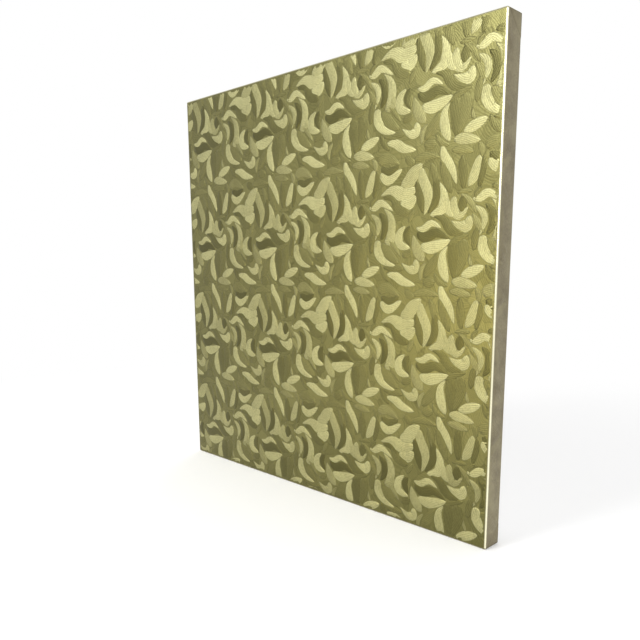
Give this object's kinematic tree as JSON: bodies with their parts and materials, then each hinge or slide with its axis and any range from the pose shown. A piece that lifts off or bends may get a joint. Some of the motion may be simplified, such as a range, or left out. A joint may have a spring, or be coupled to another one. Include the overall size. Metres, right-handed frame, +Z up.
{
  "type": "cake board",
  "caption": "Square gold cake board: a thick card board wrapped in embossed foil paper with a scroll and leaf pattern, stood on one edge.",
  "frame": {"origin": "centre of the strip that the board stands on, at the middle of its width and thickness", "axes": "+Z up along the face, -Y out of the foil face, +X to the right as the face is seen"},
  "size_m": [0.254, 0.0126, 0.254],
  "materials": {
    "board_card": "plain corrugated card",
    "gold_foil": "shiny embossed foil paper",
    "white_paper": "matte white paper"
  },
  "bodies": {
    "root": {"core_board": "board_card", "foil_wrap": "gold_foil", "backing_sheet": "white_paper"}
  },
  "joints": []
}
